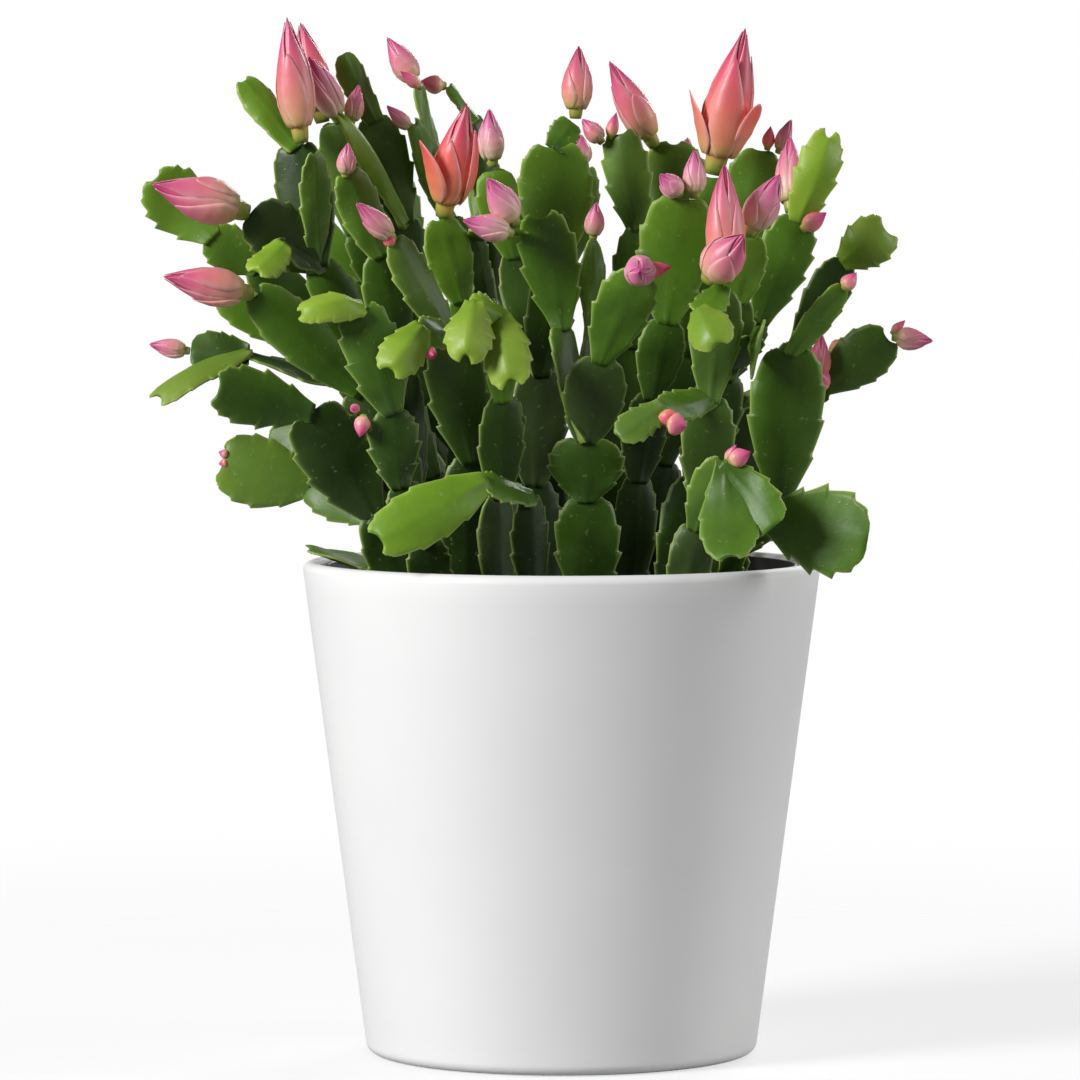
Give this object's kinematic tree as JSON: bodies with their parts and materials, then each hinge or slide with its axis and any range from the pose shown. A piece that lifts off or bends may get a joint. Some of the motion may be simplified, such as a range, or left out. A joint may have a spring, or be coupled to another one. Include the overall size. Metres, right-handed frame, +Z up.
{
  "type": "potted christmas cactus",
  "caption": "Bushy Christmas cactus with flat, toothed, arching stem segments and closed pink buds, in a tapered round cover pot.",
  "frame": {"origin": "centre of the cover pot's flat base", "axes": "+Z up along the pot's axis; -Y is the plant's fuller front"},
  "size_m": [0.2289, 0.1655, 0.3003],
  "materials": {
    "white_ceramic": "matte",
    "black_plastic": "satin",
    "potting_mix": "matte",
    "cactus_stem": "satin",
    "cactus_bud": "satin"
  },
  "bodies": {
    "root": {"cover_pot": "white_ceramic", "nursery_pot": "black_plastic", "potting_mix": "potting_mix", "cutting_front_centre": "cactus_stem", "cutting_centre": "cactus_stem", "cutting_coral": "cactus_stem", "cutting_young_droop": "cactus_stem", "cutting_left_dewy": "cactus_stem", "cutting_rim_leaf": "cactus_stem", "cutting_left_pale": "cactus_stem", "cutting_left_low": "cactus_stem", "cutting_left_rim": "cactus_stem", "cutting_left_long": "cactus_stem", "cutting_left_grey": "cactus_stem", "cutting_left_upper": "cactus_stem", "cutting_left_round": "cactus_stem", "cutting_left_crown": "cactus_stem", "cutting_twin_twigs": "cactus_stem", "cutting_centre_right": "cactus_stem", "cutting_right_round": "cactus_stem", "cutting_big_bud": "cactus_stem", "cutting_front_right": "cactus_stem", "cutting_right_glossy": "cactus_stem", "cutting_right_far": "cactus_stem", "cutting_right_low": "cactus_stem", "cutting_right_rim": "cactus_stem", "cutting_right_droop": "cactus_stem", "cutting_back_left": "cactus_stem", "cutting_back_low_left": "cactus_stem", "cutting_back_centre": "cactus_stem", "cutting_back_right": "cactus_stem", "cutting_back_low_right": "cactus_stem", "cutting_back_rim": "cactus_stem", "bud_left_crown_outer": "cactus_bud", "bud_left_crown_red": "cactus_bud", "bud_left_crown_lilac": "cactus_bud", "bud_left_crown_small": "cactus_bud", "bud_left_side_upper": "cactus_bud", "bud_left_side_lower": "cactus_bud", "bud_left_low": "cactus_bud", "bud_left_inner": "cactus_bud", "bud_twig_upper": "cactus_bud", "bud_twig_lower": "cactus_bud", "bud_twig_right": "cactus_bud", "bud_big_coral": "cactus_bud", "bud_centre_lilac": "cactus_bud", "bud_pair_upper": "cactus_bud", "bud_pair_lower": "cactus_bud", "bud_centre_tall": "cactus_bud", "bud_centre_small": "cactus_bud", "bud_centre_right": "cactus_bud", "bud_front_round": "cactus_bud", "bud_right_tallest": "cactus_bud", "bud_right_lilac": "cactus_bud", "bud_right_pale": "cactus_bud", "bud_front_pair_upper": "cactus_bud", "bud_front_pair_lower": "cactus_bud", "bud_right_magenta": "cactus_bud", "bud_right_dark": "cactus_bud", "bud_right_far": "cactus_bud"}
  },
  "joints": []
}
